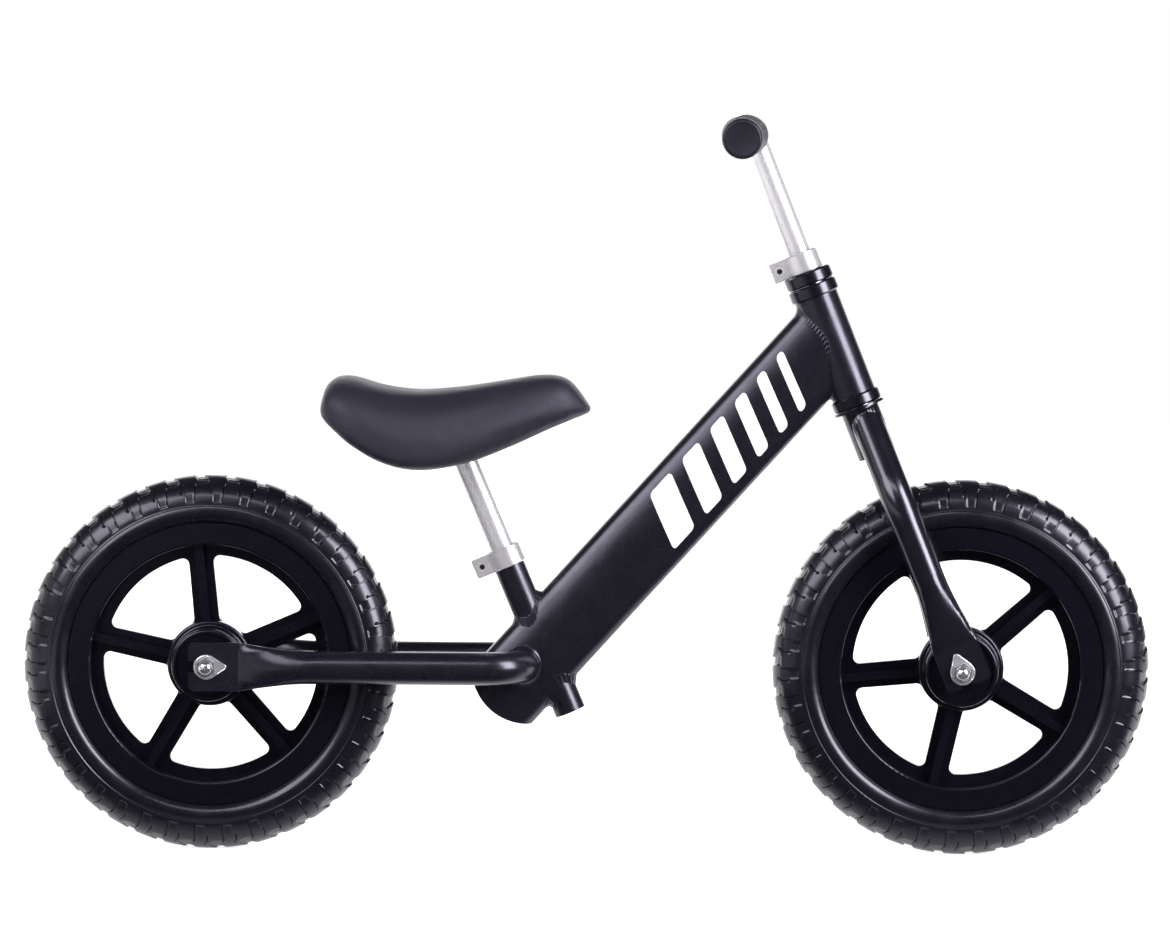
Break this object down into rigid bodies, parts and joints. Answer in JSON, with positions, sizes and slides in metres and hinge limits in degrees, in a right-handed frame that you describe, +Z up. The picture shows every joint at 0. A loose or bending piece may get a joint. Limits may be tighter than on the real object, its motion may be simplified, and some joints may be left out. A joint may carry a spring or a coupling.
{
  "type": "balance bike",
  "caption": "Child's balance bike with an oval main tube, bent rear stays, straight fork, spoked moulded wheels with foam tyres, padded seat and T-bar handlebar.",
  "frame": {"origin": "on the ground, midway between the two axles, in the bike's middle plane", "axes": "+X forward, +Y to the rider's left, +Z up"},
  "size_m": [0.8688, 0.4084, 0.5701],
  "materials": {
    "frame_paint": "satin black powder coat over welded tube",
    "fork_paint": "gloss black paint",
    "headset_black": "black electro-coated steel",
    "tube_alloy": "polished drawn tube",
    "clamp_alloy": "bright turned alloy",
    "rim_plastic": "black moulded nylon with a soft gloss",
    "tyre_foam": "matt black moulded foam",
    "grip_rubber": "ribbed soft rubber",
    "seat_cover": "fine-grained dark vinyl",
    "seat_board": "moulded board",
    "plate_steel": "black painted plate",
    "bolt_steel": "zinc plated steel",
    "axle_steel": "zinc plated steel",
    "washer_steel": "zinc plated pressed steel",
    "nut_chrome": "bright plated",
    "bearing_steel": "ground bearing steel"
  },
  "bodies": {
    "frame": {"main_tube": "frame_paint", "main_tube_end_cap": "frame_paint", "head_tube": "frame_paint", "seat_tube": "frame_paint", "right_stay": "frame_paint", "left_stay": "frame_paint", "lower_headset_cup": "headset_black", "upper_headset_cup": "headset_black", "headset_bearing_outer_rings": "bearing_steel", "seat_clamp": "clamp_alloy", "seat_clamp_bolt": "bolt_steel", "rear_axle": "axle_steel", "rear_hub_spacer": "axle_steel", "rear_axle_spacers": "axle_steel", "rear_bearing_inner_rings": "bearing_steel", "rear_tab_washers": "washer_steel", "rear_axle_nuts": "nut_chrome"},
    "fork": {"fork_steerer": "fork_paint", "crown_sleeve": "fork_paint", "right_fork_leg": "fork_paint", "left_fork_leg": "fork_paint", "crown_race": "headset_black", "upper_headset_cap": "headset_black", "headset_bearing_inner_rings": "bearing_steel", "handlebar_clamp": "clamp_alloy", "handlebar_clamp_bolt": "bolt_steel", "front_axle": "axle_steel", "front_hub_spacer": "axle_steel", "front_axle_spacers": "axle_steel", "front_bearing_inner_rings": "bearing_steel", "front_tab_washers": "washer_steel", "front_axle_nuts": "nut_chrome"},
    "handlebar": {"handlebar_stem": "tube_alloy", "handlebar_crossbar": "tube_alloy", "right_grip": "grip_rubber", "left_grip": "grip_rubber"},
    "seat": {"seat_post": "tube_alloy", "seat_post_plate": "plate_steel", "seat_base": "seat_board", "seat_screws": "bolt_steel", "seat_pad": "seat_cover"},
    "rear_wheel": {"rear_rim": "rim_plastic", "rear_tyre": "tyre_foam", "rear_bearing_outer_rings": "bearing_steel"},
    "front_wheel": {"front_rim": "rim_plastic", "front_tyre": "tyre_foam", "front_bearing_outer_rings": "bearing_steel"}
  },
  "joints": [
    {"name": "steering", "type": "hinge", "parent": "frame", "child": "fork", "pos_m": [0.2895, 0, 0.145], "axis": [-0.3698, 0, 0.9291], "continuous": true},
    {"name": "front_wheel_spin", "type": "hinge", "parent": "fork", "child": "front_wheel", "pos_m": [0.2895, 0, 0.145], "axis": [0, 1, 0], "continuous": true},
    {"name": "rear_wheel_spin", "type": "hinge", "parent": "frame", "child": "rear_wheel", "pos_m": [-0.2895, 0, 0.145], "axis": [0, 1, 0], "continuous": true},
    {"name": "seat_height", "type": "slide", "parent": "frame", "child": "seat", "axis": [-0.3907, 0, 0.9205], "range_m": [-0.055, 0.03]},
    {"name": "handlebar_height", "type": "slide", "parent": "fork", "child": "handlebar", "axis": [-0.3698, 0, 0.9291], "range_m": [-0.06, 0.03]}
  ]
}
